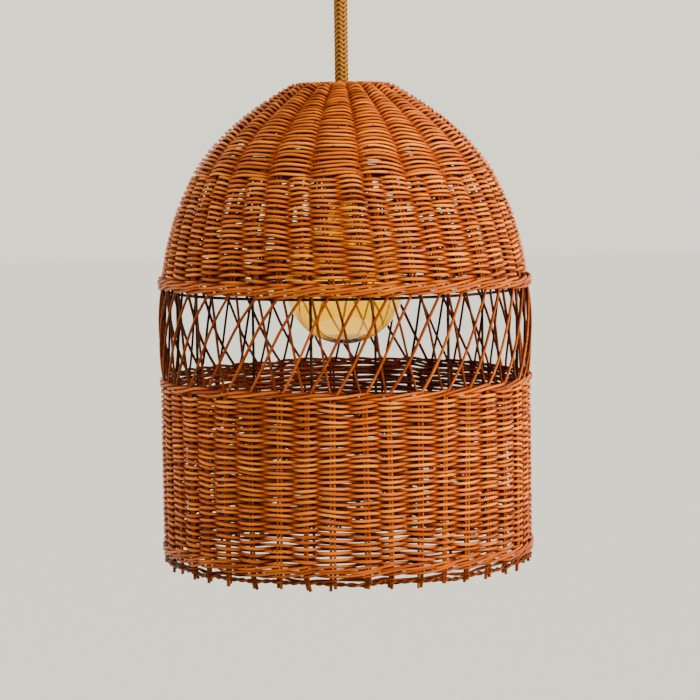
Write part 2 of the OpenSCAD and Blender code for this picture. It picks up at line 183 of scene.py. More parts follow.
def new_mesh(name, verts, quads, caps, quad_uv, fields):
    """Put vertices, quads and end caps into a mesh object, with a UV map and vertex fields."""
    mesh = bpy.data.meshes.new(name)
    loops = np.concatenate([quads.ravel(), caps.ravel()])
    starts = np.arange(len(quads)) * 4
    if len(caps):
        starts = np.concatenate([starts, len(quads) * 4 + np.arange(len(caps)) * caps.shape[1]])
    mesh.vertices.add(len(verts))
    mesh.vertices.foreach_set("co", verts.ravel())
    mesh.loops.add(len(loops))
    mesh.loops.foreach_set("vertex_index", loops.astype(np.int32))
    mesh.polygons.add(len(starts))
    mesh.polygons.foreach_set("loop_start", starts.astype(np.int32))
    mesh.update(calc_edges=True)
    uv = np.zeros((len(loops), 2))
    uv[:len(quad_uv)] = quad_uv
    mesh.uv_layers.new(name="UVMap").data.foreach_set("uv", uv.ravel())
    for key, values in fields.items():
        mesh.attributes.new(key, "FLOAT", "POINT").data.foreach_set("value", np.asarray(values, float))
    mesh.shade_smooth()
    mesh.validate()
    piece = bpy.data.objects.new(name, mesh)
    bpy.context.collection.objects.link(piece)
    print(name, len(verts), "vertices", len(loops) - 2 * len(starts), "triangles")
    return piece


def finish_piece(piece, body, slot, material, *nodes):
    """Give a piece its material and its body, and hide the CAD nodes that it stands for. slot is not used.
    """
    piece.data.materials.append(material)
    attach(piece, body)
    if nodes:
        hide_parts(*nodes)


def round_place(turned, r, z):
    """Points at an angle, a radius and a height, and the level directions out from the axis."""
    out = np.stack([np.sin(turned), -np.cos(turned), 0 * turned], -1)
    path = r[..., None] * out
    path[..., 2] = z
    return path, out


def cubic(points, t):
    """A cubic curve: each of its four control points times its own weight at t, added up."""
    a, b, c, d = points
    return (1 - t) ** 3 * a + 3 * (1 - t) ** 2 * t * b + 3 * (1 - t) * t ** 2 * c + t ** 3 * d


print("tube helpers ready")


# %% [markdown]
# ## Stained cane
# Rattan core is pale and fibrous. A honey stain gives it an orange brown, with fine fibre lines along each
# cane, small dark nicks and only a faint warm shine. Shade is painted into the colour where canes dive
# behind a stake, at each cane's sides and on its inner face.
# Each cane has its own tone, so no two neighbours match. The pattern follows the cane's own length, so it
# reads the UV map.

# %% Material helpers
def grey(value):
    """A colour with the same value in all three channels."""
    return (value, value, value)


class Finish:
    """A material's node tree with short calls to add and join nodes."""

    def __init__(self, name):
        self.material = bpy.data.materials.new(name)
        self.material.use_nodes = True
        self.nodes = self.material.node_tree.nodes
        self.links = self.material.node_tree.links
        self.shader = self.nodes["Principled BSDF"]

    def add(self, kind, **settings):
        """Add a node, with options and input values as settings."""
        node = self.nodes.new("ShaderNode" + kind)
        for key, value in settings.items():
            if hasattr(node, key):
                setattr(node, key, value)
            else:
                node.inputs[key].default_value = value
        return node

    def join(self, source, target, key):
        """Join a socket, or a node's first output, to an input."""
        socket = source if isinstance(source, bpy.types.NodeSocket) else source.outputs[0]
        self.links.new(socket, target.inputs[key])

    def math(self, operation, a, b):
        """One step of arithmetic."""
        node = self.add("Math", operation=operation)
        for key, value in enumerate((a, b)):
            if isinstance(value, (int, float)):
                node.inputs[key].default_value = value
            else:
                self.join(value, node, key)
        return node.outputs[0]

    def ramp(self, source, *stops):
        """Colours along a value, from stops of place and colour."""
        node = self.add("ValToRGB")
        while len(node.color_ramp.elements) < len(stops):
            node.color_ramp.elements.new(0.5)
        for element, (place, colour) in zip(node.color_ramp.elements, stops):
            element.position = place
            element.color = (*colour, 1.0)
        self.join(source, node, 0)
        return node.outputs[0]

    def multiply(self, a, b, factor=1.0):
        """Multiply colour a by colour b."""
        node = self.add("Mix", data_type="RGBA", blend_type="MULTIPLY")
        node.inputs[0].default_value = factor
        self.join(a, node, 6)
        self.join(b, node, 7)
        return node.outputs[2]

    def noise(self, where, scale, detail=2.0, roughness=0.5):
        """Soft noise between 0 and 1 at a place."""
        node = self.add("TexNoise", Scale=scale, Detail=detail, Roughness=roughness)
        self.join(where, node, "Vector")
        return node.outputs[0]

    def bump(self, height, distance, strength):
        """Let a height of 1 seem to stand up by the distance."""
        node = self.add("Bump", Strength=strength, Distance=distance)
        self.join(height, node, "Height")
        self.join(node, self.shader, "Normal")

    def set(self, **values):
        """Constant values on the shader's own inputs, with _ for a space."""
        for key, value in values.items():
            self.shader.inputs[key.replace("_", " ")].default_value = value

    def strand_place(self, along, around, seed):
        """The UV place along and around a cane, stretched, with each cane's tone as its own seed."""
        uv = self.add("UVMap", uv_map="UVMap")
        tone = self.add("Attribute", attribute_name="tone")
        split = self.add("SeparateXYZ")
        self.join(uv, split, 0)
        place = self.add("CombineXYZ")
        self.join(self.math("MULTIPLY", split.outputs[0], along), place, 0)
        self.join(self.math("MULTIPLY", split.outputs[1], around), place, 1)
        self.join(self.math("MULTIPLY", tone.outputs["Fac"], seed), place, 2)
        return place.outputs[0]


def cane_finish(name, dark, middle, bright):
    """Stained cane: the tone's colour times fibre lines times painted shade where canes dive, times small
    dark nicks.
    """
    f = Finish(name)
    tone = f.add("Attribute", attribute_name="tone").outputs["Fac"]
    painted_light = f.add("Attribute", attribute_name="painted_light").outputs["Fac"]
    patches = f.noise(f.strand_place(14.0, 0.6, 60.0), 1.0, 2.0)
    fibres = f.noise(f.strand_place(90.0, 9.0, 90.0), 1.0, 3.0, 0.6)
    nicks = f.noise(f.strand_place(160.0, 2.0, 40.0), 1.0, 1.0)
    level = f.math("ADD", f.math("MULTIPLY", tone, 0.5), f.math("MULTIPLY", patches, 0.55))
    colour = f.ramp(level, (0.22, dark), (0.52, middle), (0.86, bright))
    fibre_tint = f.ramp(fibres, (0.3, (0.66, 0.6, 0.55)), (0.62, grey(1.0)))
    colour = f.multiply(colour, fibre_tint, 0.8)
    # Painted shade: the painted_light field darkens the colour where canes dive and at their sides.
    painted_crevice_shade = f.ramp(painted_light, (0.12, (0.02, 0.007, 0.006)), (0.48, (0.40, 0.21, 0.17)), (0.84, grey(1.02)))
    colour = f.multiply(colour, painted_crevice_shade)
    spots = f.ramp(nicks, (0.24, (0.3, 0.2, 0.14)), (0.31, grey(1.0)))
    colour = f.multiply(colour, spots)
    f.join(colour, f.shader, "Base Color")
    f.join(f.ramp(fibres, (0.2, grey(0.5)), (0.8, grey(0.34))), f.shader, "Roughness")
    f.set(Specular_IOR_Level=0.12, Specular_Tint=(1.0, 0.5, 0.14, 1.0))
    f.bump(fibres, 0.00025, 0.5)
    return f.material


honey_cane = cane_finish("honey_cane", (0.19, 0.034, 0.005), (0.47, 0.109, 0.008), (0.92, 0.34, 0.032))
# dark_cane is the honey cane made darker: painted shade for the lattice's back layer, the hem twine and the
# cut ends.
dark_cane = cane_finish("dark_cane", (0.065, 0.012, 0.004), (0.20, 0.038, 0.005), (0.46, 0.12, 0.014))
HONEY = ("pendant", "honey_cane", honey_cane)
DARK = ("pendant", "dark_cane", dark_cane)
print("cane finishes made")

# %% [markdown]
# ## The rope
# The lamp hangs on a jute rope plaited from sixteen flat yarns, eight each way, over two and under two.
# In such a plait the places where a yarn lies on top depend only on where it is round the rope, which
# draws upright rows of chevrons. So a yarn is a helix whose radius rises and falls with its own angle
# round the rope. It is a free, taut length between the ferrule under the ceiling and the cup on the lamp
# holder.

# %% Rope
ROPE_ROUTE = [(0, 0, -0.056), (0, 0, -0.08), (0, 0, -0.1), (0, 0, -0.13), (0, 0, -0.16), (0, 0, -0.19),
              (0, 0, -0.23)]
ROPE_R = high("rope")[0] / math.cos(math.radians(15))  # the frame's rope has twelve flat sides
YARNS = 8  # yarns that wind each way
YARN_WIDE = 0.00155  # half a yarn's width
YARN_DEEP = 0.00105  # half a yarn's thickness
YARN_RISE = 0.00085  # how far a yarn rises and falls from the plait's middle
YARN_POINTS = 230
LAY_LENGTH = 0.038  # length of rope in which a yarn goes once round
SQUARENESS = 2.0  # how suddenly a yarn dives


def rope_yarns(way, top, bottom):
    """Yarns that wind one way: angle = way tau (top - z) / lay, and radius = mean + rise times a soft
    square wave of four times the angle."""
    z = np.linspace(top, bottom, YARN_POINTS)[None]
    start = np.arange(YARNS)[:, None] * math.tau / YARNS
    angle = start + way * math.tau * (top - z) / LAY_LENGTH
    over = way * np.tanh(SQUARENESS * np.cos(4 * angle)) / math.tanh(SQUARENESS)
    radius = ROPE_R - YARN_DEEP - YARN_RISE + YARN_RISE * over
    out = np.stack([np.cos(angle), np.sin(angle), 0 * angle], -1)
    path = radius[..., None] * out
    path[..., 2] = z
    return path, out, over


rope_top, rope_foot = ROPE_ROUTE[0][2], ROPE_ROUTE[-1][2]
rope_parts = [rope_yarns(way, rope_top, rope_foot) for way in (1, -1)]
rope_path, rope_out, rope_over = (np.concatenate([part[i] for part in rope_parts]) for i in range(3))
draw = np.random.default_rng(3)
# Painted shade: a yarn is painted darker where it dives under the yarns that cross it.
rope = oval_tubes("rope_plait", rope_path, rope_out, YARN_DEEP, YARN_WIDE, sides=8,
                  tone=draw.uniform(0.2, 0.8, (2 * YARNS, 1)), painted_light=0.5 + 0.5 * rope_over)

# %% [markdown]
# Jute is dull and hairy: a twisted yarn shows slanting grooves, and its colour runs from straw to brown.

# %% Jute finish
def jute_finish():
    """Twisted yarn: slanting bands along each yarn's UV, broken by noise, with painted shade where a yarn
    dives, dull and with a little sheen.
    """
    f = Finish("jute")
    twist = f.add("TexWave", wave_type="BANDS", bands_direction="DIAGONAL", Scale=1.0, Distortion=2.0,
                  Detail=2.0)
    f.join(f.strand_place(260.0, 4.0, 30.0), twist, "Vector")
    hairs = f.noise(f.strand_place(900.0, 24.0, 70.0), 1.0, 3.0)
    colour = f.ramp(hairs, (0.25, (0.12, 0.044, 0.005)), (0.5, (0.28, 0.112, 0.012)),
                    (0.75, (0.52, 0.25, 0.040)))
    painted_light = f.add("Attribute", attribute_name="painted_light").outputs["Fac"]
    # Painted shade: the painted_light field darkens each yarn where it dives and at its sides.
    shade = f.ramp(painted_light, (0.25, (0.06, 0.03, 0.02)), (0.85, grey(1.0)))
    f.join(f.multiply(colour, shade), f.shader, "Base Color")
    f.set(Roughness=0.9, Sheen_Weight=0.05, Sheen_Roughness=0.5, Specular_IOR_Level=0.1)
    f.bump(f.math("ADD", twist.outputs["Fac"], f.math("MULTIPLY", hairs, 0.6)), 0.0004, 0.7)
    return f.material


finish_piece(rope, "pendant", "jute", jute_finish(), "rope")

# %% [markdown]
# ## The flex
# A thin round flex leaves the ferrule beside the eye and ends in the terminal block inside the canopy.

# %% Flex tail
FLEX_R = 0.0022  # half the flex's thickness
FLEX_ROUTE = [(0.0046, -0.0046, -0.056), (0.0046, -0.0046, -0.05), (0.0046, -0.0046, -0.044),
              (0.005, -0.005, -0.038), (0.007, -0.007, -0.032), (0.01, -0.01, -0.028),
              (0.012, -0.012, -0.025), (0.014, -0.014, -0.021)]


def smooth_route(points, count):
    """Even points on a smooth line through the given ones, by a Catmull-Rom curve."""
    p = np.asarray(points, float)
    p = np.concatenate([2 * p[:1] - p[1:2], p, 2 * p[-1:] - p[-2:-1]])
    t = np.linspace(0, len(points) - 1 - 1e-9, count)
    i = t.astype(int)
    t = (t - i)[:, None]
    a, b, c, d = p[i], p[i + 1], p[i + 2], p[i + 3]
    return 0.5 * (2 * b + (c - a) * t + (2 * a - 5 * b + 4 * c - d) * t ** 2
                  + (3 * b - a - 3 * c + d) * t ** 3)


flex_path = smooth_route(FLEX_ROUTE, 40)[None]
flex_out = np.broadcast_to([0.7071, 0.7071, 0.0], flex_path.shape)   # level, square to the flex's own plane
flex = oval_tubes("flex_tail_sheath", flex_path, flex_out, FLEX_R, FLEX_R, sides=12)


def flex_finish():
    """Brown sheath with a faint long grain and a soft gloss."""
    f = Finish("flex")
    grain = f.noise(f.strand_place(300.0, 6.0, 10.0), 1.0, 2.0)
    f.join(f.ramp(grain, (0.3, (0.05, 0.022, 0.008)), (0.7, (0.09, 0.042, 0.016))), f.shader, "Base Color")
    f.set(Roughness=0.42)
    f.bump(grain, 0.0001, 0.4)
    return f.material


flex_material = flex_finish()
finish_piece(flex, "pendant", "flex", flex_material, "flex_tail")

# %% [markdown]
# ## The outline of the dome
# The dome is a nearly flat disc, the crossed base of a basket, then one long curve to the foot. The curve
# is a cubic with the same four points as the frame's, as fractions of the radius. Rows of weave are
# counted by the distance along this line, so the helper turns a distance into a radius, a height and the
# direction out.

# %% Dome line
CROWN_R = 0.049  # radius of the crown's disc
CROWN_FALL = 0.0015  # how far the disc falls from its middle to its edge
HOLE_R = 0.0085  # radius of the hole for the rope
SHOULDER_DEPTH = 0.095  # where the bundles of four part into pairs, below the crown
SOFTEN = 12  # points to each side over which the line is averaged
CURVE = np.array([[CROWN_R, -CROWN_FALL], [0.65 * BODY_R, -0.042], [0.921 * BODY_R, -0.089],
                  [BODY_R - 0.001, -DOME_H]])


def dome_profile():
    """Distances, places and outward directions down the dome.

    The outside is a disc that falls with the square of the radius, then the cubic, with the corner between
    them averaged away. The places are half a wall inside it.
    """
    r = np.linspace(HOLE_R, CROWN_R, 60)[:-1]
    disc = np.stack([r, -CROWN_FALL * (r / CROWN_R) ** 2], 1)
    line = np.concatenate([disc, cubic(CURVE, np.linspace(0, 1, 400)[:, None])])
    window = 2 * SOFTEN + 1
    padded = np.concatenate([line[:1].repeat(SOFTEN, 0), line, line[-1:].repeat(SOFTEN, 0)])
    soft = np.stack([np.convolve(padded[:, i], np.ones(window) / window, "valid") for i in (0, 1)], 1)
    ends = SOFTEN + 1
    soft[:ends], soft[-ends:] = line[:ends], line[-ends:]
    run = unit(np.gradient(soft, axis=0))
    out = np.stack([-run[:, 1], run[:, 0]], 1)
    middle = soft - out * WALL / 2
    length = np.concatenate([[0], np.cumsum(np.linalg.norm(np.diff(soft, axis=0), axis=1))])
    return length, middle, out


line_s, line_p, line_out = dome_profile()
DOME_LENGTH = line_s[-1]
CROWN_EDGE = float(np.interp(CROWN_R, line_p[:, 0], line_s))
SHOULDER = float(np.interp(SHOULDER_DEPTH, -line_p[:, 1], line_s))
print("dome line", round(DOME_LENGTH, 4), "crown edge", round(CROWN_EDGE, 4),
      "shoulder", round(SHOULDER, 4))


def dome_at(s):
    """Radius, height and outward direction of the wall's middle at a distance s down the dome."""
    r, z, nr, nz = (np.interp(s, line_s, v) for v in (*line_p.T, *line_out.T))
    below = np.maximum(s - DOME_LENGTH, 0)
    return r, z + CROWN_Z - below, nr, nz


def body_at(s):
    """The straight wall, as far below the body's top edge as s."""
    return STAKE_LINE + 0 * s, BODY_Z - s, 1 + 0 * s, 0 * s


# %% [markdown]
# ## Hand-made irregularity
# Nothing in a hand-woven wall is even: stakes wander a little to either side and rows sag and crowd. Sums
# of a few sine waves with drawn phases give smooth, closed and repeatable wander, shared by stakes and
# weavers so that the weave still locks together.

# %% Wander
DOME_TWIST = math.radians(3.3)  # how far the dome's stakes turn on their way to the crown
CROWD_AT = math.radians(-30)  # where pairs crowd at the dome's foot
CROWD = 0.05  # how far they move there, in radians


def waves(seed, numbers, sizes):
    """A function of angle and distance: a sum of sines, each with its own number of waves round the wall
    and its own drawn phase, which also drifts down the wall."""
    rng = np.random.default_rng(seed)
    phase, climb = rng.uniform(0, math.tau, len(numbers)), rng.uniform(-1, 1, len(numbers))

    def field(angle, s, per_metre=60.0):
        total = 0.0
        for n, size, p, c in zip(numbers, sizes, phase, climb):
            total = total + size * np.sin(n * angle + p + c * per_metre * s)
        return total

    return field


side_wander = waves(11, [2, 5, 9, 13, 17, 19], [0.006, 0.007, 0.006, 0.006, 0.006, 0.005])
row_wander = waves(12, [3, 4, 7, 12, 19, 26], [0.0007, 0.0007, 0.0006, 0.0005, 0.0004, 0.0003])


def body_turn(angle, s):
    """Where an even angle really lies in the body: moved by the side wander."""
    return angle + side_wander(angle, s, 12.0)


def dome_turn(angle, s):
    """The same in the dome: it also twists a little towards the crown, and some pairs crowd at the foot."""
    up = np.clip((DOME_LENGTH - s) / (DOME_LENGTH - SHOULDER), 0, 1)
    crowd = CROWD * np.exp(10 * (np.cos(angle - CROWD_AT) - 1)) * (1 - up)
    return body_turn(angle, s) - DOME_TWIST * up + crowd


def place(angle, s, lift, wall):
    """Points at an angle and s down a wall, lifted off it by lift, and the directions out."""
    r, z, nr, nz = wall(s)
    turned = (dome_turn if wall is dome_at else body_turn)(angle, s)
    out = np.stack([nr * np.sin(turned), -nr * np.cos(turned), nz], -1)
    path = np.stack([r * np.sin(turned), -r * np.cos(turned), z], -1)
    return path + lift[..., None] * out, out


print("wander ready")

# %% [markdown]
# ## Rows of weave
# Plain weave takes a weaver over one stake group and under the next, and the next row does the opposite.
# So the lift of a weaver is a soft square wave of its angle, one half wave a group. In the lower walls
# the groups are pairs of stakes, and a row is a ring. In the crown and upper dome they are 21 wide
# bundles of four. Since 21 is odd, one long spiral turns over into under by itself after every round.
# Rows wander up and down a little, and each cane is fatter where it bows over the stakes than where it
# squeezes between them.

# %% The weave helper
def weave_rows(name, node, wall, rows, groups, first, per_group, square, thick, reach, seed, spiral=False,
               arch=0.0, fade=0.0, top_fade=0.0, pillow=0.0):
    """Rows of plain weave at the given distances down a wall.

    groups stake groups start at the angle first, with per_group points in each. The lift off the wall is
    reach tanh(square cos x) / tanh(square), where x grows by half a turn a group. thick is half a cane's
    thickness and arch raises it where it bows out. fade and top_fade are added to the tone towards the last
    and first rows. pillow lifts the wall over each group by the absolute cosine of x. A row is a closed
    ring, or with spiral it runs on into the next one at the back.
    """
    rng = np.random.default_rng(seed)
    rows = np.asarray(rows)
    count = groups * per_group
    if spiral:
        run = np.arange(len(rows) * count)[None] / count
        angle = run * math.tau + math.pi
        s = np.interp(run, np.arange(len(rows)), rows)
        pitch = np.interp(run, np.arange(len(rows)), np.gradient(rows))
        swing = np.cos((angle - first) * groups / 2)
        own = run * 0.6
        tone = rng.uniform(0.25, 0.75, len(rows) * 2)[(run * 1.37).astype(int)]
        size = thick * (1 + 0.05 * np.sin(run * 5.1) + 0.05 * np.sin(run * 13.3))
    else:
        angle = np.arange(count)[None] / count * math.tau + 0 * rows[:, None]
        s = rows[:, None] + 0 * angle
        pitch = np.gradient(rows)[:, None] + 0 * angle
        swing = np.cos((angle - first) * groups / 2 + np.arange(len(rows))[:, None] * math.pi)
        own = rng.uniform(0, 9, len(rows))[:, None]
        tone = rng.uniform(0.2, 0.8, (len(rows), 1))
        size = thick * rng.uniform(0.9, 1.1, (len(rows), 1))
    over = np.tanh(square * swing) / math.tanh(square)
    jitter = waves(seed + 1, [2, 3, 5, 8, 11, 23], [1, 1, 1, 1, 1, 1])
    s = s + row_wander(angle, s) + jitter(angle, own) * 0.10 * pitch - arch * over
    swell = pillow * np.abs(np.cos((angle - first) * groups / 2)) * np.exp(-np.abs(s - CROWN_EDGE) / 0.04)
    path, out = place(angle, s, reach * over + swell, wall)
    down = np.clip((s - rows[0]) / (rows[-1] - rows[0]), 0, 1)
    tone = tone + fade * down ** 2 + top_fade * (1 - down) ** 2
    tall = size * (1.02 - 0.13 * (1 - np.abs(over))) * np.clip(pitch / 0.0027, 0.8, 1.15)
    # Painted shade: a weaver is painted darker where it passes behind a stake group and at its sides.
    piece = oval_tubes(name, path, out, size * 0.94, tall, ring=not spiral, tone=tone,
                       painted_light=0.56 + 0.44 * over)
    finish_piece(piece, *HONEY, node)


def spaced(start, end, pitch):
    """Row places from start to end, about a pitch apart."""
    return np.linspace(start, end, max(2, round((end - start) / pitch) + 1))


BUNDLE_WEAVE = dict(groups=BUNDLES, first=FIRST_PAIR - STEP / 2, spiral=True, pillow=0.0022)
PAIR_WEAVE = dict(groups=PAIRS, first=FIRST_PAIR, per_group=7, square=1.0, thick=CANE)
print("weave helper ready")

# %% [markdown]
# The dome takes three pieces: the crown's rounds, the upper dome's wide bundles and the lower dome's
# pairs. The last four rows above the wale lie looser than the rest.

# %% Dome weave
weave_rows("crown_rounds", "crown_weave", dome_at, spaced(0.006, CROWN_EDGE - 0.001, 0.0027),
           per_group=8, square=1.5, thick=0.0014, reach=0.0036, seed=21, arch=0.0003, fade=-0.3,
           **BUNDLE_WEAVE)
weave_rows("upper_dome_rows", "upper_dome_weave", dome_at, spaced(CROWN_EDGE + 0.0015, SHOULDER, 0.00265),
           per_group=10, square=1.1, thick=0.0016, reach=0.0038, seed=22, arch=0.0007, top_fade=-0.3,
           **BUNDLE_WEAVE)
loose = DOME_LENGTH - WALE_H - np.array([0.0125, 0.009, 0.0052, 0.0018])
lower_places = np.concatenate([spaced(SHOULDER + 0.0028, loose[0] - 0.0029, ROW_PITCH), loose])
weave_rows("lower_dome_rows", "lower_dome_weave", dome_at, lower_places, reach=0.0031, seed=23, **PAIR_WEAVE)

# %% [markdown]
# The body's rows are even down to a little below its middle. From there on they open slowly towards the
# hem, and their tone darkens.

# %% Body weave
body_low = BODY_LENGTH - WALE_H
body_middle = 0.55 * body_low
upper_body = spaced(WALE_H * 0.75, body_middle, ROW_PITCH)
spread = np.linspace(0, 1, round((body_low - body_middle) / 0.00296))
lower_body = body_middle + 0.0028 + (body_low - body_middle - 0.0028) * (0.93 * spread + 0.07 * spread ** 2)
weave_rows("body_rows_high", "body_weave", body_at, upper_body, reach=0.0030, seed=24, **PAIR_WEAVE)
weave_rows("body_rows_low", "body_weave", body_at, lower_body, reach=0.0030, seed=26, fade=-0.35,
           **PAIR_WEAVE)

# %% [markdown]
# Here and there a thin splinter of cane has lifted from a row. They are short curved hairs, kept just off
# the wall.

# %% Loose fibres
def loose_fibres(name, wall, s_low, s_high, count, stand, seed):
    """Curved hairs: along the wall by run t, and off it by stand times t squared."""
    rng = np.random.default_rng(seed)
    t = np.linspace(0, 1, 7)[None]
    angle = rng.uniform(0, math.tau, (count, 1)) + rng.choice([-1, 1], (count, 1)) * 0.035 * t
    s = rng.uniform(s_low, s_high, (count, 1)) + rng.normal(0, 0.002, (count, 1)) * t
    lift = 0.0036 + stand * rng.uniform(0.5, 1.0, (count, 1)) * t ** 2
    path, out = place(angle, s, lift, wall)
    size = 0.0004 * (1.1 - 0.8 * t) + 0 * angle
    piece = oval_tubes(name, path, out, size, size, 5, tone=rng.uniform(0, 0.6, (count, 1)), painted_light=0.9)
    finish_piece(piece, *HONEY)


loose_fibres("dome_loose_fibres", dome_at, s_low=0.12, s_high=0.26, count=34, stand=0.0035, seed=27)
loose_fibres("body_loose_fibres", body_at, s_low=0.02, s_high=0.16, count=34, stand=0.0006, seed=28)

# %% [markdown]
# ## Stakes
# The stakes are the upright canes. Four lie side by side in each bundle of the crown and upper dome, then
# they part into pairs that run through the lower dome and, below the lattice, through the straight body.

# %% Upright stakes
BUNDLE_HALF = 0.0042  # half the distance between the two pairs of a bundle


def upright_stakes(name, wall, s, spread, seed, painted_light):
    """Stakes down a wall: each pair's two canes sit at its angle plus and minus spread(s) radians."""
    rng = np.random.default_rng(seed)
    angle = FIRST_PAIR + STAKE_PAIR * STEP + spread(s[None])
    lift = rng.uniform(-0.0002, 0.0002, (2 * PAIRS, 1)) + 0 * angle
    path, out = place(angle, s[None] + 0 * angle, lift, wall)
    size = STAKE_R * rng.uniform(0.92, 1.08, (2 * PAIRS, 1))
    tone = rng.uniform(0.1, 0.8, (2 * PAIRS, 1))
    piece = oval_tubes(name, path, out, size, size, tone=tone, painted_light=painted_light)
    finish_piece(piece, *HONEY)


def pair_spread(s):
    """Side by side: half a gap to each side at the wall's radius."""
    return STAKE_HAND * HALF_GAP / STAKE_LINE + 0 * s


def dome_spread(s):
    """Side by side in pairs low down, and drawn into bundles of four above the shoulder."""
    radius = dome_at(s)[0]
    apart = STAKE_HAND * np.minimum(HALF_GAP / radius, STEP / 4.2)
    bundled = np.clip((SHOULDER - s) / 0.02, 0, 1)
    inward = np.where(STAKE_PAIR % 2 == 0, -1.0, 1.0) * STEP / 2
    wanted = np.minimum(BUNDLE_HALF / radius, STEP / 2.1)
    return apart - inward * bundled * (1 - wanted / (STEP / 2))


dome_run = np.linspace(0.001, DOME_LENGTH - 0.004, 70)
body_run = np.linspace(0.002, BODY_LENGTH, 24)
# Painted shade: stakes are painted darker where the weavers cover them, the dome's more than the body's.
upright_stakes("dome_stakes", dome_at, dome_run, dome_spread, seed=31, painted_light=0.36)
upright_stakes("body_stakes", body_at, body_run, pair_spread, seed=32, painted_light=0.62)

# %% [markdown]
# ## Bands of wale
# Where a wall begins or ends it is locked by rows of three-rod wale: three canes that each pass outside
# two stake groups and inside one, each a step behind the other. From outside that looks like a rope with
# slanting strands: a flattened helix round the stakes, one turn in three groups.

# %% Wale
ROD = 0.00152  # half the thickness of a wale rod
ROD_RISE = 0.0027  # how far a rod climbs and falls about its row


def wale_band(name, node, rows, turn, seed, tones=(-0.1, 0.5)):
    """Rows of three-rod wale. u is the turn in a rod's own round of three groups, from -pi to pi. The lift
    is reach tanh(1.8 (cos u + 0.5)). The height is row + rise sin(3 u / 4) outside, and falls inside."""
    rng = np.random.default_rng(seed)
    count = PAIRS * 7
    rows = np.repeat(np.asarray(rows), 3)[:, None]
    angle = np.arange(count)[None] * math.tau / count + 0 * rows
    rod = np.tile(np.arange(3), len(rows) // 3)[:, None]
    u = (angle - FIRST_PAIR) * PAIRS / 3 + (rod + rows * 300) * math.tau / 3
    u = (u + math.pi) % math.tau - math.pi
    side = math.tau / 3
    inside = np.cos((np.abs(u) - side) * 1.5) * np.sign(u)
    height = np.where(np.abs(u) < side, np.sin(0.75 * u), inside)
    over = np.tanh(1.8 * (np.cos(u) + 0.5)) / math.tanh(2.7)
    size = ROD * rng.uniform(0.9, 1.06, (len(rows), 1))
    outer, inner = WALE_R - 0.0016, STAKE_LINE - 0.0029
    r = (outer + inner) / 2 + (outer - inner) / 2 * over
    turned = turn(angle)
    path, out = round_place(turned, r, rows + ROD_RISE * height + row_wander(angle, rows) * 0.9)
    # Painted shade: a rod is painted darker where it passes inside the stakes.
    piece = oval_tubes(name, path, out, size, size, 8, ring=True, tone=rng.uniform(*tones, (len(rows), 1)),
                       painted_light=0.48 + 0.42 * over)
    finish_piece(piece, *HONEY, node)


def dome_foot_turn(angle):
    """The dome's turn at its foot."""
    return dome_turn(angle, DOME_LENGTH)


def body_top_turn(angle):
    """The body's turn at its top."""
    return body_turn(angle, 0.0)


def hem_turn(angle):
    """The body's turn at the hem."""
    return body_turn(angle, BODY_LENGTH)


rim_rows = FOOT_Z + np.array([0.0043, 0.0092])
top_rows = BODY_Z - np.array([0.0045])
bottom_rows = HEM_Z + np.array([0.0041, 0.0088])
wale_band("dome_rim_wale_rods", "dome_rim_wale", rim_rows, dome_foot_turn, seed=41)
wale_band("body_top_wale_rods", "body_top_wale", top_rows, body_top_turn, seed=42)
wale_band("bottom_wale_rods", "bottom_wale", bottom_rows, hem_turn, seed=43, tones=(-0.25, 0.3))

# %% [markdown]
# ## The lattice
# Between dome and body the two stakes of a pair part: one leans right over two pairs, the other leans
# left over one, and they cross in front of each other to draw tall diamonds. The canes bow out slightly
# and none is quite straight.

# %% Lattice
def leaning_stakes(name, node, lean, size, lift, material, seed):
    """Stakes from the body's wale to the dome's, nearly straight and bowed outwards. Each goes lean pairs
    to the right on its way up. size is its radius, and lift sets it before or behind the other layer."""
    rng = np.random.default_rng(seed)
    t = np.linspace(-0.07, 1.07, 22)[None]
    start = FIRST_PAIR + np.arange(PAIRS)[:, None] * STEP
    hand = 0.13 * STEP * np.sign(lean)
    foot = body_top_turn(start) + hand + rng.normal(0, 0.006, (PAIRS, 1))
    head = dome_foot_turn(start + lean * STEP) - hand + rng.normal(0, 0.008, (PAIRS, 1))
    ease = t + 0.02 * np.sin(math.tau * t) + rng.normal(0, 0.016, (PAIRS, 1)) * np.sin(math.pi * t)
    turned = foot + (head - foot) * ease
    z = BODY_Z + (FOOT_Z - BODY_Z) * t
    hump = np.sin(math.pi * np.clip(t, 0, 1))
    r = STAKE_LINE + 0.0006 + (0.0015 + rng.normal(0, 0.0003, (PAIRS, 1))) * hump + lift * hump ** 0.4
    path, out = round_place(turned, r, z)
    size = size * rng.uniform(0.9, 1.08, (PAIRS, 1))
    # Painted shade: each cane's tone is darkened towards its top, where it lies in shade.
    tone = rng.uniform(-0.1, 0.5, (PAIRS, 1)) - 0.4 * np.clip(t, 0, 1)
    piece = oval_tubes(name, path, out, size, size, 9, tone=tone, painted_light=0.8)
    finish_piece(piece, "pendant", "honey_cane", material, node)


leaning_stakes("lattice_right_canes", "lattice_right", lean=2, size=0.00148, lift=0.0016,
               material=honey_cane, seed=51)
leaning_stakes("lattice_left_canes", "lattice_left", lean=-1, size=0.00135, lift=-0.0016,
               material=dark_cane, seed=52)

# %% [markdown]
# ## The hem
# Right below the last wale two loose weavers run round, a half turn from pair to pair. Lower down two
# thin canes are twisted harder, one and a half turns a pair, and hold the stakes, which are cut off just
# below. Both twists are flattened helices. The ends are short sticks that lean and differ in length,
# because they were cut by hand.

# %% Twine and stake ends
LET_IN = 0.004  # how far a cut end starts inside the wale
CUT_END_R = 0.0017  # radius of a cut end


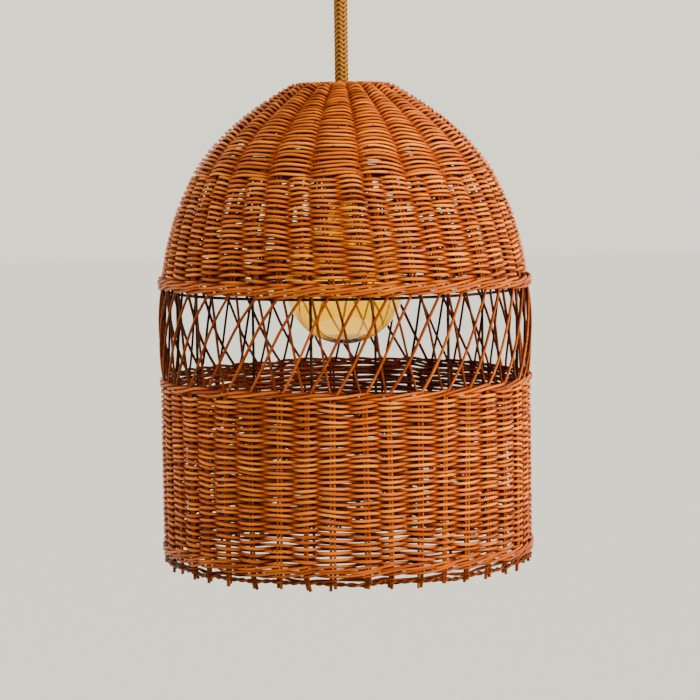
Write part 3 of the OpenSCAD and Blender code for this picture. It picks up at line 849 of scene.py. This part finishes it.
def twine(name, node, z, turns, thick, depth, rise, seed):
    """Two strands twisted round each other, wide where they pass the stakes.

    phase = turns x angle x pairs, and the second strand is half a turn behind. thick is half a strand's
    thickness, rise half the twist's height and depth the size of its hand-made sag.
    """
    count = PAIRS * 16
    angle = np.arange(count)[None] * math.tau / count + np.zeros((2, 1))
    phase = (angle - FIRST_PAIR) * PAIRS * turns + np.array([[0.0], [math.pi]])
    near = np.exp(3.0 * (np.cos((angle - FIRST_PAIR) * PAIRS) - 1))
    sag = depth * waves(seed, [4, 9, 13, 21, 34], [0.8, 0.7, 0.6, 0.5, 0.4])(angle, 0.0)
    r = STAKE_LINE + (0.0011 + 0.0017 * near) * np.cos(phase)
    path, out = round_place(hem_turn(angle), r, z + sag + rise * np.sin(phase))
    # Painted shade: each strand is painted darker where it twists inside.
    piece = oval_tubes(name, path, out, thick, thick, ring=True, tone=np.array([[-0.3], [0.2]]),
                       painted_light=0.65 + 0.25 * np.cos(phase))
    finish_piece(piece, *DARK, node)


def cut_ends(name, node, seed):
    """Stake ends: short canes from inside the wale, each with its own lean and length."""
    rng = np.random.default_rng(seed)
    count = 2 * PAIRS
    t = np.linspace(0, 1, 6)[None]
    angle = FIRST_PAIR + STAKE_PAIR * STEP + STAKE_HAND * HALF_GAP / STAKE_LINE
    lean = np.repeat(rng.normal(0, 0.009, (PAIRS, 1)), 2, 0) + rng.normal(0, 0.003, (count, 1))
    end = END_Z + rng.uniform(0.0004, 0.0050, (count, 1))
    turned = hem_turn(angle) + lean * t ** 1.5
    r = STAKE_LINE + rng.normal(0, 0.0012, (count, 1)) * t
    start = HEM_Z + LET_IN
    path, out = round_place(turned, r, start + (end - start) * t)
    size = CUT_END_R * rng.uniform(0.92, 1.08, (count, 1))
    piece = oval_tubes(name, path, out, size, size, 8, tone=rng.uniform(0, 1, (count, 1)), painted_light=0.75)
    finish_piece(piece, *DARK, node)


twine("hem_twine", "closing_twine", HEM_Z - 0.0060, turns=1.5, thick=0.0014, depth=0.0008, rise=0.0011,
      seed=61)
twine("hem_loose_weavers", "closing_twine", HEM_Z - 0.0022, turns=0.5, thick=0.0010, depth=0.0011,
      rise=0.0009, seed=63)
cut_ends("hem_stake_ends", "stake_ends", seed=62)

# %% [markdown]
# ## The wire frame
# Eight round wires are bent to the inside of the wall and welded to three rings and to a small plate
# under the crown. The rings and the plate come from the frame; the ribs are drawn here as round wire.

# %% Ribs
WIRE_R = 0.0015  # radius of the frame's wire
RIBS = 8
FIRST_RIB = math.radians(-10.6)  # the first rib stands this far to the left of the front
RIB_INSET = 0.0034  # from the wall's inside to the middle of a rib


def rib_wires():
    """Ribs that follow the dome's inside from the hub plate and run straight down to the bottom ring."""
    inset = WALL / 2 + RIB_INSET
    s = np.linspace(0.019, DOME_LENGTH - 0.008, 60)
    r, z, nr, nz = dome_at(s)
    r, z = r - nr * inset, z - nz * inset
    straight = np.linspace(z[-1], low("bottom_ring")[2] + WIRE_R, 20)[1:]
    wall_r = high("bottom_ring")[0] - 3.0 * WIRE_R
    r = np.concatenate([np.minimum(r, wall_r), np.full(19, wall_r)])
    z = np.concatenate([z, straight])
    z[:12] = np.minimum(z[:12], low("hub_plate")[2] - WIRE_R)
    turn = FIRST_RIB + np.arange(RIBS)[:, None] * math.tau / RIBS
    path = np.stack([r * np.sin(turn), -r * np.cos(turn), z + 0 * turn], -1)
    side = np.stack([np.cos(turn), np.sin(turn), 0 * turn], -1) + 0 * path
    return path, side


rib_path, rib_side = rib_wires()
ribs = oval_tubes("frame_rib_wires", rib_path, rib_side, WIRE_R, WIRE_R, sides=10)


def wire_finish():
    """Dark lacquer over steel wire: nearly black with a brown cast, and rubbed lighter patches."""
    f = Finish("frame_wire")
    where = f.add("TexCoord").outputs["Object"]
    rubbed = f.noise(where, 180.0, 3.0)
    colour = f.ramp(rubbed, (0.35, (0.008, 0.003, 0.002)), (0.72, (0.034, 0.013, 0.006)))
    f.join(colour, f.shader, "Base Color")
    f.join(f.ramp(rubbed, (0.3, grey(0.75)), (0.7, grey(0.5))), f.shader, "Roughness")
    f.set(Specular_IOR_Level=0.04)
    f.bump(rubbed, 0.0001, 0.4)
    return f.material


frame_wire = wire_finish()
finish_piece(ribs, "pendant", "frame_wire", frame_wire, "frame_ribs")

# %% [markdown]
# ## The bulb's glass
# A large clear globe of amber glass, blown thin, with a short neck that disappears into its metal cap.
# The outline is a profile turned round the axis: a straight neck, a flare and most of a circle. The wall
# is real, 1.2 mm thick, so that it bends light at its edges as glass does.

# %% Globe
GLOBE_LOW = low("bulb_globe")
GLOBE_HIGH = high("bulb_globe")
GLOBE_R = GLOBE_HIGH[0]
GLOBE_Z = GLOBE_LOW[2] + GLOBE_R
GLASS_WALL = 0.0012  # thickness of the glass
NECK_R = 0.0113  # radius of the neck inside the cap
FLARE_END = math.radians(40)  # where the flare meets the circle, from the top
GLOBE_POINTS = 40


def globe_profile(inset):
    """Outline from the neck's top to the pole: a line, a cubic flare and an arc, all moved in by inset."""
    neck, radius, top = NECK_R - inset, GLOBE_R - inset, GLOBE_HIGH[2]
    join = low("bulb_cap")[2]
    edge = np.array([radius * math.sin(FLARE_END), GLOBE_Z + radius * math.cos(FLARE_END)])
    corners = ([neck + 0.0025, join - 0.004], [neck + 0.0035, join - 0.022], edge + [-0.020, 0.0168], edge)
    flare = cubic(np.array(corners), np.linspace(0, 1, GLOBE_POINTS)[:, None])
    a = np.linspace(FLARE_END, math.pi, 2 * GLOBE_POINTS)[1:]
    arc = np.stack([radius * np.sin(a), GLOBE_Z + radius * np.cos(a)], 1)
    return np.concatenate([[[neck, top], [neck, join + 0.001]], flare, arc])


def turned_shell(name, outline, turns):
    """A closed outline in radius and height, turned once round the axis."""
    a = np.arange(turns)[:, None] * math.tau / turns
    r, z = outline[:, 0][None], outline[:, 1][None]
    verts = np.stack([r * np.sin(a), -r * np.cos(a), z + 0 * a], -1)
    index = np.arange(turns * len(outline)).reshape(turns, -1)
    after = np.roll(index, -1, 0)
    quads = np.stack([index[:, :-1], index[:, 1:], after[:, 1:], after[:, :-1]], -1).reshape(-1, 4)
    uv = np.zeros((quads.size, 2))
    piece = new_mesh(name, verts.reshape(-1, 3), quads, np.zeros((0, 4), int), uv, {})
    return weld(piece)


def weld(piece):
    """Merge the points that fall together on the axis and at the seam, and point every face outwards."""
    work = bmesh.new()
    work.from_mesh(piece.data)
    bmesh.ops.remove_doubles(work, verts=work.verts, dist=1e-6)
    bmesh.ops.dissolve_degenerate(work, edges=work.edges, dist=1e-7)
    bmesh.ops.recalc_face_normals(work, faces=work.faces)
    work.to_mesh(piece.data)
    work.free()
    piece.data.shade_smooth()
    return piece


glass_outer = globe_profile(0.0)
glass_inner = globe_profile(GLASS_WALL)[::-1]
glass_line = np.concatenate([glass_outer, glass_inner, glass_outer[:1]])
globe = turned_shell("bulb_globe_glass", glass_line, turns=96)


# Painted reflection: the globe's foot is painted dark brown, for the dark basket that its glass reflects.
PAINTED_FOOT_BAND = 0.016  # height of the band above the globe's foot in which its colour changes


def glass_finish(name, tint, roughness=0.02, foot=None, painted_glow=grey(0.0)):
    """Clear tinted glass. With a foot height it has a painted dark reflection just above it and a faint
    painted emission elsewhere.
    """
    f = Finish(name)
    where = f.add("TexCoord").outputs["Object"]
    ripple = f.noise(where, 18.0, 1.0)
    f.set(Base_Color=(*tint, 1.0), Roughness=roughness, IOR=1.47, Transmission_Weight=1.0)
    if foot is not None:
        height = f.add("SeparateXYZ")
        f.join(where, height, 0)
        above = f.math("DIVIDE", f.math("SUBTRACT", height.outputs[2], foot), PAINTED_FOOT_BAND)
        # Painted reflection: dark brown at the foot, fading into the tint above.
        colour = f.ramp(above, (0.20, (0.10, 0.032, 0.006)), (0.40, (0.46, 0.22, 0.02)), (0.47, tint))
        f.join(colour, f.shader, "Base Color")
        # Painted light: the glass above its foot is given a faint orange emission, though it is no lamp.
        f.join(f.ramp(above, (0.38, grey(0.0)), (0.56, painted_glow)), f.shader, "Emission Color")
        f.set(Emission_Strength=0.09)
    f.bump(ripple, 0.0006, 0.15)
    return f.material


amber_glass = glass_finish("amber_glass", (1.0, 0.745, 0.03), foot=GLOBE_LOW[2], painted_glow=(1.0, 0.42, 0.0))
finish_piece(globe, "bulb", "amber_glass", amber_glass, "bulb_globe")

# %% [markdown]
# ## Metals, plastics and ceramics
# The fittings keep their frame shapes and get finishes of their own: dull zinc with a crystalline mottle,
# brushed brass, brown canopy enamel with a fine orange peel, black moulded resin and glazed ceramic.

# %% Fitting finishes
def speckled(name, dark, light, scale, rough, metallic=0.0, depth=0.0001, coat=0.0):
    """A finish whose colour and gloss vary softly, for metal, enamel, resin and glaze. scale is the number
    of blotches a metre, rough the mean roughness and depth the height of the fine grain."""
    f = Finish(name)
    where = f.add("TexCoord").outputs["Object"]
    blotch = f.noise(where, scale, 4.0, 0.6)
    fine = f.noise(where, scale * 12, 2.0)
    f.join(f.ramp(blotch, (0.3, dark), (0.7, light)), f.shader, "Base Color")
    gloss = f.ramp(fine, (0.3, grey(rough * 0.8)), (0.7, grey(min(rough * 1.25, 1.0))))
    f.join(gloss, f.shader, "Roughness")
    f.set(Metallic=metallic, Coat_Weight=coat, Coat_Roughness=0.1)
    f.bump(fine, depth, 0.5)
    return f.material


FITTINGS = {
    "zinc": speckled("zinc", (0.36, 0.37, 0.39), (0.60, 0.61, 0.62), 220.0, 0.38, metallic=1.0),
    "canopy": speckled("canopy_enamel", (0.075, 0.032, 0.011), (0.11, 0.05, 0.018), 90.0, 0.4,
                       depth=0.00008, coat=0.1),
    "brass": speckled("brass", (0.48, 0.30, 0.10), (0.72, 0.50, 0.20), 160.0, 0.30, metallic=1.0),
    "white_plastic": speckled("white_plastic", (0.62, 0.60, 0.55), (0.74, 0.72, 0.67), 120.0, 0.45),
    "black_plastic": speckled("black_resin", (0.008, 0.007, 0.006), (0.022, 0.020, 0.018), 140.0, 0.28),
    "ceramic": speckled("ceramic", (0.66, 0.62, 0.54), (0.78, 0.75, 0.68), 100.0, 0.22, depth=0.00005,
                        coat=0.5),
    "cap_metal": speckled("cap_metal", (0.55, 0.52, 0.45), (0.72, 0.69, 0.62), 200.0, 0.25, metallic=1.0),
    "black_glass": speckled("black_glass", (0.006, 0.006, 0.009), (0.014, 0.014, 0.02), 150.0, 0.12),
    "stem_glass": glass_finish("stem_glass", (0.95, 0.95, 0.9), 0.03),
    "filament": speckled("filament_strip", (0.75, 0.42, 0.08), (0.95, 0.62, 0.18), 300.0, 0.5),
    "frame_wire": frame_wire,
    "flex": flex_material,
}

for part in frame["record"]["subparts"]:
    node = bpy.data.objects.get(part["node"])
    if node is None or node.hide_render or part["material_slot"] not in FITTINGS:
        continue
    node.data.materials.clear()
    node.data.materials.append(FITTINGS[part["material_slot"]])
print("fittings finished")

# %% [markdown]
# ## The room
# A plain pale floor well below the lamp and an even, soft, warm sky, so that floor and sky meet with no
# line behind the shade. A lamp from the right is the window's light and a weak one from the front keeps
# the shadows open.

# %% Stage and light
def area(name, place_at, aim, size, power, colour):
    """A square soft light at a place, turned to its aim."""
    data = bpy.data.lights.new(name, "AREA")
    data.size, data.energy, data.color = size, power, colour
    lamp = bpy.data.objects.new(name, data)
    lamp.location = place_at
    lamp.rotation_euler = (Vector(aim) - Vector(place_at)).to_track_quat("-Z", "Y").to_euler()
    bpy.context.collection.objects.link(lamp)


FLOOR_Z = -3.4  # height of the floor
FLOOR_HALF = 60.0  # half its width
SKY_COLOUR = (1.0, 0.94, 0.79, 1.0)
SKY_STRENGTH = 1.5
floor_mesh = bpy.data.meshes.new("floor")
floor_corners = [(x * FLOOR_HALF, y * FLOOR_HALF, FLOOR_Z) for x, y in ((-1, -1), (1, -1), (1, 1), (-1, 1))]
floor_mesh.from_pydata(floor_corners, [], [(0, 1, 2, 3)])
floor = bpy.data.objects.new("floor", floor_mesh)
bpy.context.collection.objects.link(floor)
floor_finish = Finish("floor")
floor_finish.set(Base_Color=(0.93, 0.93, 0.93, 1.0), Roughness=0.9)
floor_mesh.materials.append(floor_finish.material)

world = bpy.data.worlds.new("room")
world.use_nodes = True
sky = world.node_tree.nodes["Background"]
sky.inputs["Color"].default_value = SKY_COLOUR
sky.inputs["Strength"].default_value = SKY_STRENGTH
bpy.context.scene.world = world

middle_z = (CROWN_Z + END_Z) / 2
middle = (0, 0, middle_z)
area("window_right", (2.3, -1.0, 0.3), middle, size=0.6, power=185.0, colour=(1.0, 0.86, 0.58))
area("lamp_front", (-0.4, -2.6, 1.0), middle, size=1.0, power=30.0, colour=(1.0, 0.84, 0.60))
print("floor, sky and two lamps set")
